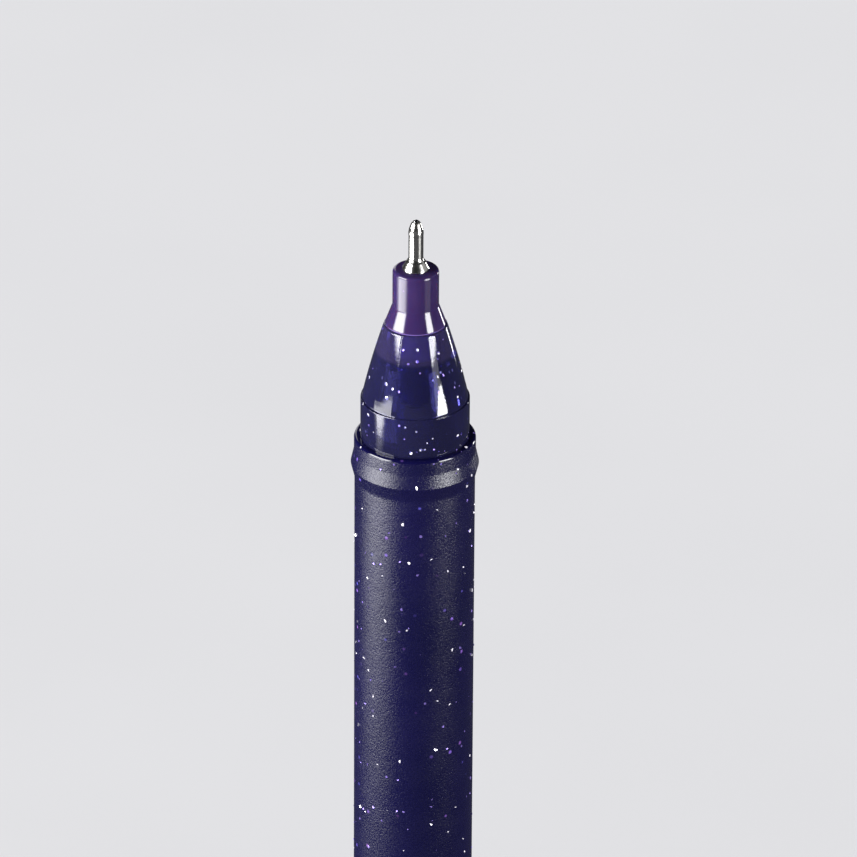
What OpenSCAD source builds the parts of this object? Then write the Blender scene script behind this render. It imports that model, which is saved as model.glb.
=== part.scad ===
// Capped stick gel pen with a semi-needle tip, standing tip up with its cap posted on the tail.
// +Z runs from the cap's crown to the ball. The origin is the centre of the crown's flat end face.

/* [Overall] */
// Posted length, from the crown's end face to the top of the ball
pen_len = 162; // [158:0.5:168]
// Outer diameter of the barrel
barrel_d = 10.4; // [10.3:0.05:10.6]
// Wall of the barrel
barrel_wall = 1.0; // [0.9:0.05:1.1]
// Outer diameter of the neck between the collar bead and the rim
neck_d = 10.5; // [10.4:0.05:10.6]

/* [Collar bead] */
// Diameter of the bead at its crest
bead_d = 11.04; // [10.9:0.02:11.2]
// Distance from the rim down to the top of the bead
bead_top = 1.4; // [1.3:0.1:1.6]
// Distance from the rim down to the bead's crest
bead_crest = 2.6; // [2.4:0.1:2.8]
// Distance from the rim down to the foot of the bead
bead_foot = 4.0; // [3.8:0.1:4.2]

/* [Front section] */
// Height from the barrel's rim to the ball's top
nose_len = 20.5; // [20.3:0.1:21]
// Diameter of the smooth land that a cap slides over
land_d = 9.4; // [9.3:0.05:9.4]
// Height of the land above the rim
land_h = 3.7; // [3.5:0.1:4.2]
// Height of the cone's front face above the rim
cone_h = 10.7; // [10.5:0.1:10.9]
// Diameter of the cone's front face
cone_tip_d = 5.5; // [5.4:0.05:5.6]

/* [Refill] */
// Diameter of the tip holder's cylinder
holder_d = 3.98; // [3.9:0.02:4.04]
// Diameter of the holder's flare where it sits on the cone
flare_d = 5.2; // [5.1:0.05:5.3]
// Outer diameter of the ink tube
tube_d = 4.1; // [4.0:0.05:4.15]
// Wall of the ink tube
tube_wall = 0.43; // [0.4:0.01:0.45]
// Length of the ink column below the holder's nipple
ink_len = 72; // [20:1:80]
// Length of the grease follower behind the ink
follower_len = 6; // [4:0.5:8]
// Ball diameter
ball_d = 0.5; // [0.48:0.01:0.5]
// Diameter of the steel tip's needle
needle_d = 1.28; // [1.2:0.02:1.3]

/* [Cap] */
// Length of the cap
cap_len = 47; // [46:0.5:48]
// Outer diameter of the cap shell
cap_d = 11.7; // [11.6:0.05:11.8]
// Depth that the tail goes into the posted cap
post_depth = 10.5; // [10.3:0.05:10.5]
// Width of the clip
clip_w = 4.4; // [4:0.1:4.6]

/* [Hidden] */
$fn = 96;

fit = 0.02;              // radial gap of pressed parts
slip = 0.08;             // radial gap between the cap's bore and what it slides over
past = 1;                // overshoot of cutting tools
navy = "midnightblue";
purple = "rebeccapurple";

// heights
rim_z = pen_len - nose_len;
seat_z = rim_z - 1.5;       // shoulder in the barrel's mouth that the front section rests on
tail_z = cap_len;
land_z = rim_z + land_h;
cone_z = rim_z + cone_h;

// barrel
barrel_r = barrel_d / 2;
bore_r = barrel_r - barrel_wall;
neck_r = neck_d / 2;
bead_r = bead_d / 2;
socket_r = bore_r + 0.25;   // counterbore that takes the front section's spigot
socket_h = 12;
snap_drop = 6.5;            // from the shoulder to the middle of the snap groove
snap_h = 0.8;
snap_rise = 0.12;
tail_chamfer = 0.2;

// front section
land_r = land_d / 2;
tuck = 0.18;                // the front section narrows by this much where it enters the barrel's mouth
mouth_r = land_r - tuck + fit;
cone_tip_r = cone_tip_d / 2;
section_bore_r = 2.13;      // takes the ink tube and grips the holder's spigot
section_wide_r = 3.5;

// tail plug
post_r = land_r;
plug_insert_h = 7;
guide_r = 2.25;             // sleeve that centres the refill's rear end
guide_wall = 0.7;
vent_r = 0.6;

// refill
holder_r = holder_d / 2;
flare_r = flare_d / 2;
tube_r = tube_d / 2;
tube_bore_r = tube_r - tube_wall;
ball_r = ball_d / 2;
needle_r = needle_d / 2;
ball_z = pen_len - ball_r;
holder_top_z = rim_z + 15.9;
flare_top_z = rim_z + 12.5;
spigot_z = rim_z + 8;
nipple_z = rim_z + 3.4;
tube_end_z = tail_z - 6;
shank_r = 1.0;
shank_z = rim_z + 11.5;
ink_channel_r = 0.7;
ink_z = nipple_z - ink_len;
follower_z = ink_z - follower_len;
float_r = 0.7;
float_len = follower_len - 1.2;
base_r = 1.17;              // where the steel cone meets the holder
spring_wire_r = 0.06;
spring_coil_r = 0.36;
spring_turns = 8;
spring_sides = 6;
spring_steps = 12;          // rings in one turn

// cap
cap_r = cap_d / 2;
cap_bore_r = land_r + slip;
mouth_z = tail_z - fit;
crown_h = 2.4;
crown_rest_r = 4.9;         // flat part of the end face
crown_plug_h = 5;
liner_z = 22;
liner_mouth_z = cap_len - cone_h + 0.1;
liner_r = 4.55;
liner_bore_r = 3.0;
liner_lip_r = 2.72;
liner_floor = 1.2;
seal_top_z = cap_len - nose_len;
rib_count = 6;
clip_pivot = [8.0, 5.2];    // x and z of the clip's bending neck
knuckle_r = 0.95;
clip_top_z = 41.5;

// points of an arc from angle a0 to a1, in steps
function arc(centre, r, a0, a1, steps = 8) =
    [for (i = [0 : steps]) centre + r * [cos(a0 + (a1 - a0) * i / steps), sin(a0 + (a1 - a0) * i / steps)]];

// Rings of points along a path, each ring square to the way the path runs there
function unit(v) = v / norm(v);
function heading(path, i) = unit(path[min(i + 1, len(path) - 1)] - path[max(i - 1, 0)]);
function ring_at(path, i, r, sides) =
    let (t = heading(path, i), across = abs(t.z) < 0.8 ? [0, 0, 1] : [1, 0, 0])
    let (side = unit(cross(t, across)), up = cross(side, t))
    [for (k = [0 : sides - 1]) path[i] + r * (cos(360 * k / sides) * side + sin(360 * k / sides) * up)];

// A solid turned about Z from an outline of [radius, height] points
module turned(outline) {
    rotate_extrude($fn = 128) polygon(outline);
}

// A tube of radius r swept along a path of points
module swept(path, r, sides) {
    rings = len(path);
    points = [for (i = [0 : rings - 1]) each ring_at(path, i, r, sides)];
    walls = [for (i = [0 : rings - 2], k = [0 : sides - 1]) let (n = (k + 1) % sides)
        [i * sides + k, i * sides + n, (i + 1) * sides + n, (i + 1) * sides + k]];
    start_cap = [for (k = [sides - 1 : -1 : 0]) k];
    end_cap = [for (k = [0 : sides - 1]) (rings - 1) * sides + k];
    polyhedron(points = points, faces = concat(walls, [start_cap, end_cap]), convexity = 8);
}

module barrel() {
    groove_r = socket_r + snap_rise;
    snap_z = seat_z - snap_drop;
    crest_r = 0.15;
    rim_r = 0.16;
    lead_in = tuck + 0.02;
    color(navy) turned(concat(
        [[bore_r, tail_z], [barrel_r - tail_chamfer, tail_z], [barrel_r, tail_z + tail_chamfer],
         [barrel_r, rim_z - bead_foot]],
        arc([bead_r - crest_r, rim_z - bead_crest], crest_r, -13, 13, 4),
        [[neck_r, rim_z - bead_top]],
        arc([neck_r - rim_r, rim_z - rim_r], rim_r, 0, 90, 6),
        [[mouth_r + lead_in, rim_z], [mouth_r, rim_z - lead_in], [mouth_r, seat_z], [socket_r, seat_z],
         [socket_r, snap_z + snap_h], [groove_r, snap_z + snap_h / 2],
         [groove_r, snap_z - snap_h / 2], [socket_r, snap_z - snap_h],
         [socket_r, seat_z - socket_h], [bore_r, seat_z - socket_h]]));
}

module front_section() {
    spigot_r = socket_r - fit;
    snap_r = socket_r + snap_rise - fit;
    snap_z = seat_z - snap_drop;
    snap_half = snap_h / 2 - fit;
    foot_z = seat_z - socket_h + 0.1;
    lead_in = 0.5;
    step = 0.07;            // the cone's foot stands this far inside the land's crisp upper edge
    belly = 0.09;           // outward bow of the cone, halfway up
    bow_steps = 6;
    nose_r = 0.15;
    nose_lean = 18;
    cone_foot = [land_r - step * 2, land_z + step * 2];
    cone_top = [cone_tip_r - nose_r, cone_z - nose_r] + nose_r * [cos(nose_lean), sin(nose_lean)];
    color(navy) turned(concat(
        [[section_wide_r, foot_z], [spigot_r - lead_in, foot_z], [spigot_r, foot_z + lead_in],
         [spigot_r, snap_z - snap_h], [snap_r, snap_z - snap_half], [snap_r, snap_z + snap_half],
         [spigot_r, snap_z + snap_h], [spigot_r, seat_z], [land_r - tuck, seat_z],
         [land_r - tuck, rim_z - tuck], [land_r, rim_z],
         [land_r, land_z - step / 2], [land_r - step / 2, land_z], [land_r - step * 1.7, land_z]],
        [for (i = [0 : bow_steps - 1]) let (t = i / bow_steps)
            cone_foot + t * (cone_top - cone_foot) + [4 * belly * t * (1 - t), 0]],
        arc([cone_tip_r - nose_r, cone_z - nose_r], nose_r, nose_lean, 90, 5),
        [[section_bore_r, cone_z], [section_bore_r, spigot_z - 0.6], [2.5, spigot_z - 0.9],
         [3.3, land_z - 0.4], [section_wide_r, rim_z + 1]]));
}

module tail_plug() {
    end_z = tail_z - post_depth;
    insert_r = bore_r - fit;
    wall = 1.0;
    shell_r = post_r - wall;
    color(navy) difference() {
        turned(concat(
            [[0, end_z]],
            arc([post_r - 0.6, end_z + 0.6], 0.6, -90, 0, 6),
            [[post_r, tail_z - fit], [insert_r, tail_z - fit], [insert_r, tail_z + plug_insert_h - 0.6],
             [insert_r - 0.4, tail_z + plug_insert_h], [shell_r - 0.4, tail_z + plug_insert_h],
             [shell_r - 0.4, tail_z], [shell_r, tail_z - 1], [shell_r, end_z + wall],
             [guide_r + guide_wall, end_z + wall], [guide_r + guide_wall, tail_z - 1.5],
             [guide_r, tail_z - 2], [guide_r, end_z + wall], [0, end_z + wall]]));
        translate([0, 0, end_z - past]) cylinder(r = vent_r, h = wall + 2 * past);
    }
}

module tip_holder() {
    spigot_r = section_bore_r - fit;
    nipple_r = tube_bore_r - fit;
    crown_r = 0.22;
    root_r = 0.25;
    rim_r = 0.12;
    color(purple) turned(concat(
        [[ink_channel_r, nipple_z], [nipple_r - 0.4, nipple_z], [nipple_r, nipple_z + 0.8],
         [nipple_r, spigot_z], [spigot_r, spigot_z], [spigot_r, cone_z], [flare_r - rim_r, cone_z]],
        arc([flare_r - rim_r, cone_z + rim_r], rim_r, -90, 15, 4),
        arc([holder_r + root_r, flare_top_z + root_r * 0.7], root_r, 200, 180, 3),
        arc([holder_r - crown_r, holder_top_z - crown_r], crown_r, 0, 90, 5),
        [[shank_r + fit, holder_top_z], [shank_r + fit, shank_z - 0.1], [ink_channel_r, shank_z - 0.1]]));
}

module tip_body() {
    lip_r = 0.31;
    nose_h = 1.15;
    nose_steps = 6;
    swell = 0.015;          // the crimping tool leaves the nose's foot this much wider than the needle
    widen = needle_r + swell - lip_r;
    lip_z = ball_z + 0.12;
    chamber_r = 0.5;
    channel_r = 0.16;
    color("silver") difference() {
        turned([[0.3, shank_z], [shank_r - 0.15, shank_z], [shank_r, shank_z + 0.4],
                [shank_r, holder_top_z + fit], [base_r, holder_top_z + fit], [base_r, holder_top_z + 0.08],
                [needle_r, holder_top_z + 0.95], [needle_r, lip_z - nose_h - 0.15],
                for (i = [0 : nose_steps]) let (t = i / nose_steps)
                    [lip_r + widen * (1 - t * t), lip_z - nose_h * (1 - t)],
                [0, lip_z],
                [0, ball_z - 0.3], [channel_r, ball_z - 0.3], [channel_r, holder_top_z + 0.6],
                [chamber_r, holder_top_z + 0.2], [chamber_r, shank_z + 0.5], [0.3, shank_z + 0.4]]);
        translate([0, 0, ball_z]) sphere(r = ball_r + 0.012, $fn = 64);
        translate([0, 0, ball_z - 0.6]) cylinder(r = channel_r, h = 0.6);
    }
}

module ball() {
    color("gray") translate([0, 0, ball_z]) sphere(r = ball_r, $fn = 64);
}

// A coil in the shank whose straight end reaches up the needle to the back of the ball
module tip_spring() {
    low_z = shank_z + 0.6;
    high_z = holder_top_z + 0.05;
    steps = spring_turns * spring_steps;
    coil = [for (i = [0 : steps]) let (a = 360 * i / spring_steps)
        [spring_coil_r * cos(a), spring_coil_r * sin(a), low_z + (high_z - low_z) * i / steps]];
    stem = [[0.2, 0.05, high_z + 0.2], [0, 0, high_z + 0.45], [0, 0, ball_z - ball_r - 0.02]];
    color("silver") swept(concat(coil, stem), spring_wire_r, spring_sides);
}

module ink_tube() {
    color("white", 0.4) turned([[tube_bore_r, tube_end_z], [tube_r, tube_end_z],
                                [tube_r, spigot_z - fit], [tube_bore_r, spigot_z - fit]]);
}

module gel_ink() {
    ink_r = tube_bore_r - fit;
    channel_r = ink_channel_r - fit;
    color("indigo") turned([[0, ink_z], [ink_r, ink_z], [ink_r, nipple_z - fit], [channel_r, nipple_z - fit],
                            [channel_r, shank_z - 0.1 - fit], [0, shank_z - 0.1 - fit]]);
}

// Grease plug behind the ink, with a blind hole for the float
module ink_follower() {
    follower_r = tube_bore_r - fit;
    dip = 0.6;
    hole_r = float_r + fit;
    color("khaki") turned([[hole_r, follower_z + dip], [follower_r * 0.75, follower_z + dip * 0.7],
                           [follower_r, follower_z], [follower_r, ink_z - fit], [0, ink_z - fit],
                           [0, follower_z + float_len + fit], [hole_r, follower_z + float_len + fit]]);
}

// Plastic rod that steadies the grease in a wide tube
module follower_float() {
    edge = 0.15;
    color("white") turned([[0, follower_z], [float_r - edge, follower_z], [float_r, follower_z + edge],
                           [float_r, follower_z + float_len - edge],
                           [float_r - edge, follower_z + float_len], [0, follower_z + float_len]]);
}

// Side outline of the bridge that carries the clip, in x and z
module clip_bridge() {
    root_x = cap_bore_r + 0.4;
    side = [[root_x, 3.2], [clip_pivot.x, 3.6], clip_pivot, [7.1, 5.7], [6.7, 6.8], [root_x, 8.2]];
    difference() {
        rotate([90, 0, 0]) linear_extrude(height = clip_w, center = true) polygon(side);
        translate([clip_pivot.x, 0, clip_pivot.y]) rotate([90, 0, 0])
            cylinder(r = knuckle_r + 0.05, h = clip_w + 2 * past, center = true);
    }
}

module cap_shell() {
    crown_bore_r = cap_bore_r - 0.2;
    lip_r = 0.4;
    color(navy) {
        difference() {
            union() {
                turned(concat(
                    [[crown_bore_r, crown_h], [cap_r - 0.05, crown_h]],
                    arc([cap_r - lip_r, mouth_z - lip_r], lip_r, 0, 90, 6),
                    [[cap_bore_r + 0.25, mouth_z], [cap_bore_r, mouth_z - 0.4], [cap_bore_r, liner_z],
                     [crown_bore_r, liner_z - 0.3]]));
                clip_bridge();
            }
            translate([0, 0, crown_h - past]) cylinder(r = crown_bore_r, h = 10);
        }
        for (i = [0 : rib_count - 1]) rotate([0, 0, 360 * i / rib_count + 30]) intersection() {
            translate([cap_bore_r - 0.065, -0.3, mouth_z - 9]) cube([0.5, 0.6, 8]);
            translate([0, 0, mouth_z - 9]) cylinder(r = cap_bore_r + 0.2, h = 8);
        }
    }
}

module cap_crown() {
    plug_r = cap_bore_r - 0.2 - fit;
    edge_r = 0.9;
    color(purple) turned(concat(
        [[0, 0], [cap_r - edge_r, 0]],
        arc([cap_r - edge_r, edge_r], edge_r, -90, 0, 8),
        [[cap_r, crown_h - fit], [plug_r, crown_h - fit], [plug_r, crown_h + crown_plug_h - 0.4],
         [plug_r - 0.4, crown_h + crown_plug_h], [plug_r - 1.2, crown_h + crown_plug_h],
         [plug_r - 1.2, 1.6], [0, 1.6]]));
}

// Inner cup whose lip closes on the cone's front edge when the pen is capped
module cap_liner() {
    color("white") turned([[0, liner_z + 0.5], [liner_r, liner_z + 0.5], [liner_r, liner_mouth_z - 3],
                           [liner_bore_r + 0.6, liner_mouth_z], [liner_lip_r, liner_mouth_z],
                           [liner_lip_r, liner_mouth_z - 0.5], [liner_bore_r, liner_mouth_z - 1],
                           [liner_bore_r, liner_z + 0.5 + liner_floor], [0, liner_z + 0.5 + liner_floor]]);
}

module tip_seal() {
    low_z = liner_z + 0.5 + liner_floor + fit;
    high_z = seal_top_z - 0.1;
    seal_r = liner_bore_r - 0.05;
    chamfer = 0.6;
    dip = 0.2;              // hollow that the ball closes on
    color("dimgray") turned([[0, low_z], [seal_r, low_z], [seal_r, high_z - chamfer],
                             [seal_r - chamfer, high_z], [chamfer, high_z], [0, high_z - dip]]);
}

module cap_clip() {
    px = clip_pivot.x;
    pz = clip_pivot.y;
    inner_x = px - 0.6;
    nub = [px - 0.45, 38];
    nub_r = 1.3;
    end_r = clip_w / 2 - 0.35;      // the arm narrows to this half width and ends round
    end_z = clip_top_z - end_r;
    color(navy) intersection() {
        rotate([90, 0, 0]) linear_extrude(height = clip_w, center = true) union() {
            translate(clip_pivot) circle(r = knuckle_r);
            polygon([[inner_x, pz + 0.7], [px + knuckle_r, pz], [px + 0.85, 22], [px + 0.7, clip_top_z - 1],
                     [px + 0.45, clip_top_z], [px + 0.1, clip_top_z], [inner_x + 0.05, nub.y + 1.4],
                     [inner_x, nub.y - 2], [inner_x, 20]]);
            translate(nub) circle(r = nub_r);
        }
        rotate([90, 0, 90]) linear_extrude(height = 12) union() {
            polygon([[-clip_w / 2, 3], [clip_w / 2, 3], [end_r, end_z], [-end_r, end_z]]);
            translate([0, end_z]) circle(r = end_r);
        }
    }
}

barrel();
front_section();
tail_plug();
tip_holder();
tip_body();
tip_spring();
ball();
ink_tube();
gel_ink();
ink_follower();
follower_float();
cap_shell();
cap_crown();
cap_liner();
tip_seal();
cap_clip();
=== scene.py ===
"""A capped stick gel pen with a needle tip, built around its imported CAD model."""

import math

import bmesh
import bpy
from bpy.props import FloatProperty, FloatVectorProperty, IntProperty, PointerProperty
from mathutils import Matrix, Vector


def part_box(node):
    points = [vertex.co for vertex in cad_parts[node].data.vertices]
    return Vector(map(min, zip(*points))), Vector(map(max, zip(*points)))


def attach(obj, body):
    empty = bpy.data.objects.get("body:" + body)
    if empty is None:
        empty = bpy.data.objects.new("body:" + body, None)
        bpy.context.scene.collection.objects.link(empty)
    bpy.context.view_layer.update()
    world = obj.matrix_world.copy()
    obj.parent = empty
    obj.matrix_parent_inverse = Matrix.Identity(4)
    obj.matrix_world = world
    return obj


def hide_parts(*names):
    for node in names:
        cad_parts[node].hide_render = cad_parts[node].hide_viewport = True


bl_info = {
    "name": "Glitter gel pen",
    "version": (1, 0, 0),
    "blender": (4, 5, 0),
    "location": "View3D > Sidebar > Gel Pen",
    "description": "Builds a needle-tip gel pen, its refill and its cap around a fixed frame",
    "category": "Add Mesh",
}

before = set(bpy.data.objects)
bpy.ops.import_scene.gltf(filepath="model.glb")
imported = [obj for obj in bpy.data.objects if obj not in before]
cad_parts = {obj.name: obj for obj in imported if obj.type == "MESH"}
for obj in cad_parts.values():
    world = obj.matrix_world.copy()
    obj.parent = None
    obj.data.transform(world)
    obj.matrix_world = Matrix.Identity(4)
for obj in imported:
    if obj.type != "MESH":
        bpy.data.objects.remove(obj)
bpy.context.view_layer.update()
MM = 0.001
FIT = 0.02 * MM          # gap of pressed parts, as in the frame
FLAKE_ROOM = 0.025 * MM  # how far the cap's skin stays inside, so that its flakes do too
TUCK = 0.18 * MM         # the front section narrows by this much inside the barrel's mouth
SOCKET_STEP = 0.25 * MM  # the barrel's socket is wider than its bore by this much
SNAP_DOWN = 6.5 * MM     # from the front section's seat down to the middle of the snap groove
POST_GAP = 0.08 * MM     # gap between the tail plug's post and the cap's bore
CROWN_STEP = 0.2 * MM    # the crown's bore is narrower than the cap's by this much
KNUCKLE_R = 0.95 * MM    # radius of the clip's round root
PAST_SEAM = 0.5          # degrees between a parting line's ridge and its foot


# Sizes, colours, glitter and camera that a user would change

def length(name, description, default_mm):
    return FloatProperty(name=name, description=description, default=default_mm * MM,
                         subtype="DISTANCE", unit="LENGTH", precision=5)


def angle(name, description, default_degrees):
    return FloatProperty(name=name, description=description, default=math.radians(default_degrees),
                         subtype="ANGLE", unit="ROTATION")


def colour(name, description, default):
    return FloatVectorProperty(name=name, description=description, default=default, size=3,
                               subtype="COLOR", min=0, max=1)


class PenSizes(bpy.types.PropertyGroup):
    barrel_d: length("Barrel diameter", "Outer diameter of the satin barrel", 10.4)
    barrel_wall: length("Barrel wall", "Wall of the barrel", 1.0)
    neck_d: length("Neck diameter", "Diameter between the collar bead and the rim", 10.5)
    bead_top: length("Bead top", "From the rim down to the top of the bead", 1.4)
    bead_crest: length("Bead crest", "From the rim down to the bead's crest", 2.6)
    bead_foot: length("Bead foot", "From the rim down to the foot of the bead", 4.0)
    seat_depth: length("Seat depth", "Depth of the shoulder inside the barrel's mouth", 1.5)
    cone_tip_d: length("Cone face", "Diameter of the cone's front face", 5.5)
    land_h: length("Land", "Height of the smooth land above the rim", 3.7)
    section_bore_d: length("Cone bore", "Bore of the cone around the refill", 4.26)
    holder_d: length("Holder", "Diameter of the tip holder's cylinder", 3.98)
    needle_d: length("Needle", "Diameter of the steel needle", 1.28)
    clip_w: length("Clip width", "Width of the clip", 4.4)


class PenColours(bpy.types.PropertyGroup):
    satin: colour("Barrel", "Resin of the satin barrel", (0.0024, 0.0022, 0.024))
    clear: colour("Cone", "Tint of the glossy resin", (0.058, 0.057, 0.23))
    cap: colour("Cap", "Resin of the cap and clip", (0.004, 0.0034, 0.03))
    purple: colour("Purple", "Resin of the tip holder and the crown", (0.026, 0.013, 0.064))
    ink: colour("Ink", "Gel ink", (0.012, 0.008, 0.05))


class PenGlitter(bpy.types.PropertyGroup):
    flake_d: length("Flake", "Width of a large flake", 0.36)
    flake_t: length("Flake thickness", "Thickness of a flake", 0.012)
    bright: FloatProperty(name="Bright flakes", description="Bright flakes per square metre", default=95000)
    dim: FloatProperty(name="Dim flakes", description="Dim flakes per square metre", default=150000)
    seed: IntProperty(name="Seed", description="Seed of the flakes' places", default=7)


class PenStudio(bpy.types.PropertyGroup):
    elevation: angle("Camera elevation", "Angle of the camera above the horizon", 27.5)
    roll: angle("Camera roll", "Turn of the camera about its own axis", 0.35)
    distance: length("Camera distance", "From the camera to the barrel's rim", 750)
    aim_side: length("Aim to the side", "How far right of the rim the camera looks", 1.16)
    aim_up: length("Aim up", "How far above the rim the camera looks", 0.47)
    lens: FloatProperty(name="Lens", description="Focal length in millimetres", default=366.4)


# Outlines and meshes

def arc(centre, radius, start, stop, steps=8):
    """Points of an arc in an outline of (radius, height) pairs, with its angles in degrees."""
    turns = [math.radians(start + (stop - start) * i / steps) for i in range(steps + 1)]
    return [(centre[0] + radius * math.cos(a), centre[1] + radius * math.sin(a)) for a in turns]


def round_turn(segments=160, seams=()):
    """Angles of a full turn, with three close ones at each parting line."""
    angles = [math.tau * i / segments for i in range(segments)]
    for seam in seams:
        near = math.tau / segments
        angles = [a for a in angles if abs((a - seam + math.pi) % math.tau - math.pi) > near * 0.6]
        angles += [(seam + math.radians(step * PAST_SEAM)) % math.tau for step in (-1, 0, 1)]
    return sorted(angles)


def held(outline, closed, near=0.05 * MM):
    """Adds a point close to both ends of every long wall, so smooth shading keeps the wall straight."""
    points = []
    for here, there in zip(outline, outline[1:] + outline[:1]):
        points.append(here)
        gap = math.dist(here, there)
        if gap > 6 * near and (closed or here is not outline[-1]):
            points += [(here[0] + (there[0] - here[0]) * share, here[1] + (there[1] - here[1]) * share)
                       for share in (near / gap, 1 - near / gap)]
    return points


def turned(outline, angles, closed=True, lift=None):
    """A bmesh turned about Z from an outline of (radius, height) pairs."""
    shape = bmesh.new()
    outline = held(outline, closed)
    rings = []
    for a in angles:
        ring = []
        for radius, height in outline:
            grown = radius + (lift(a, radius, height) if lift and radius else 0)
            ring.append(shape.verts.new((grown * math.cos(a), grown * math.sin(a), height)))
        rings.append(ring)
    spans = len(outline) if closed else len(outline) - 1
    for here, there in zip(rings, rings[1:] + rings[:1]):
        for i in range(spans):
            j = (i + 1) % len(outline)
            shape.faces.new((here[i], there[i], there[j], here[j]))
    bmesh.ops.remove_doubles(shape, verts=shape.verts, dist=1e-8)
    bmesh.ops.dissolve_degenerate(shape, edges=shape.edges, dist=1e-8)
    if closed:
        bmesh.ops.recalc_face_normals(shape, faces=shape.faces)
    return shape


def lofted(sections):
    """A closed bmesh through rings of points with the same number of points each."""
    shape = bmesh.new()
    rings = [[shape.verts.new(point) for point in section] for section in sections]
    for here, there in zip(rings, rings[1:]):
        for i in range(len(here)):
            j = (i + 1) % len(here)
            shape.faces.new((here[i], here[j], there[j], there[i]))
    shape.faces.new(rings[0])
    shape.faces.new(rings[-1])
    bmesh.ops.recalc_face_normals(shape, faces=shape.faces)
    return shape


def finished(name, shapes, material, crisp=32):
    """An object from one or more bmeshes, smooth except along edges sharper than crisp degrees."""
    mesh = bpy.data.meshes.new(name)
    whole = bmesh.new()
    for shape in shapes:
        part = bpy.data.meshes.new(name + "_part")
        shape.to_mesh(part)
        shape.free()
        whole.from_mesh(part)
        bpy.data.meshes.remove(part)
    for face in whole.faces:
        face.smooth = True
    for edge in whole.edges:
        edge.smooth = len(edge.link_faces) == 2 and edge.calc_face_angle() < math.radians(crisp)
    whole.to_mesh(mesh)
    whole.free()
    mesh.materials.append(material)
    piece = bpy.data.objects.new(name, mesh)
    bpy.context.scene.collection.objects.link(piece)
    return piece


def settle(piece, body, slot, *nodes):
    """Fixes a piece to its body, and hides any CAD nodes that it stands for."""
    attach(piece, body)
    if nodes:
        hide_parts(*nodes)


def low(node):
    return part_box(node)[0]


def high(node):
    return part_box(node)[1]


def span(node):
    """Lowest and highest Z of a CAD node."""
    return low(node).z, high(node).z


# Shader node groups that several materials share

def shader_group(name, numbers, outputs):
    """A group with a Vector input, number inputs with their defaults, and outputs with their kinds."""
    group = bpy.data.node_groups.new(name, "ShaderNodeTree")
    group.interface.new_socket(name="Vector", in_out="INPUT", socket_type="NodeSocketVector")
    for label, value in numbers.items():
        socket = group.interface.new_socket(name=label, in_out="INPUT", socket_type="NodeSocketFloat")
        socket.default_value = value
    for label, kind in outputs.items():
        group.interface.new_socket(name=label, in_out="OUTPUT", socket_type="NodeSocket" + kind)
    return group, group.nodes.new("NodeGroupInput").outputs, group.nodes.new("NodeGroupOutput").inputs


def add(tree, kind, inputs=None, **settings):
    """Adds a node, sets its properties, and gives each named input a value or a link to a socket."""
    made = tree.nodes.new(kind)
    for key, value in settings.items():
        setattr(made, key, value)
    for key, value in (inputs or {}).items():
        if isinstance(value, bpy.types.NodeSocket):
            tree.links.new(value, made.inputs[key])
        else:
            made.inputs[key].default_value = value
    return made


def calc(tree, operation, first, second):
    """The result of a Math node on two sockets or numbers."""
    return add(tree, "ShaderNodeMath", {0: first, 1: second}, operation=operation).outputs[0]


def noise(tree, vector, scale, detail, **inputs):
    inputs.update(Vector=vector, Scale=scale, Detail=detail)
    return add(tree, "ShaderNodeTexNoise", inputs).outputs["Fac"]


def ramp(tree, source, start, stop):
    """Maps a value between start and stop onto 0 to 1, smoothly."""
    return add(tree, "ShaderNodeMapRange", {"Value": source, "From Min": start, "From Max": stop},
               interpolation_type="SMOOTHSTEP").outputs[0]


def mould_grain():
    """Fine spark-eroded grain with a coarser swell under it."""
    group, given, out = shader_group("Mould grain", {"Grain per metre": 7000.0, "Swell": 0.3}, {"Height": "Float"})
    scale = given["Grain per metre"]
    fine = noise(group, given["Vector"], scale, 3.0, Roughness=0.6)
    coarse = noise(group, given["Vector"], calc(group, "MULTIPLY", scale, 0.08), 2.0)
    height = calc(group, "ADD", fine, calc(group, "MULTIPLY", coarse, given["Swell"]))
    group.links.new(height, out["Height"])
    return group


def handling_marks():
    """Sparse long scuffs and soft smudges that vary the gloss."""
    group, given, out = shader_group("Handling marks", {"Size": 1.0}, {"Scuffs": "Float", "Smudges": "Float"})
    sized = add(group, "ShaderNodeVectorMath", {0: given["Vector"], "Scale": given["Size"]},
                operation="SCALE").outputs[0]
    tilted = add(group, "ShaderNodeMapping", {"Vector": sized, "Rotation": (0.5, 0.35, 0.2),
                                              "Scale": (1.0, 1.0, 0.06)}).outputs[0]
    group.links.new(ramp(group, noise(group, tilted, 2600.0, 2.0), 0.66, 0.78), out["Scuffs"])
    group.links.new(ramp(group, noise(group, sized, 170.0, 4.0), 0.42, 0.68), out["Smudges"])
    return group


def deep_flecks():
    """Soft round flecks that lie deeper in the resin, some violet and some blue."""
    group, given, out = shader_group("Deep flecks", {"Flecks per metre": 900.0, "Share": 0.45},
                                     {"Mask": "Float", "Tint": "Color"})
    cells = add(group, "ShaderNodeTexVoronoi", {"Vector": given["Vector"], "Scale": given["Flecks per metre"],
                                                "Randomness": 1.0}, feature="F1").outputs
    dot = ramp(group, cells["Distance"], 0.17, 0.06)
    pick = add(group, "ShaderNodeSeparateColor", {0: cells["Color"]}).outputs
    chosen = calc(group, "LESS_THAN", pick[0], given["Share"])
    mask = calc(group, "MULTIPLY", dot, calc(group, "MULTIPLY", pick[1], chosen))
    tint = add(group, "ShaderNodeMix", {0: pick[2], "A": (0.10, 0.11, 0.62, 1), "B": (0.42, 0.16, 0.68, 1)},
               data_type="RGBA")
    group.links.new(mask, out["Mask"])
    group.links.new(tint.outputs["Result"], out["Tint"])
    return group


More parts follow.
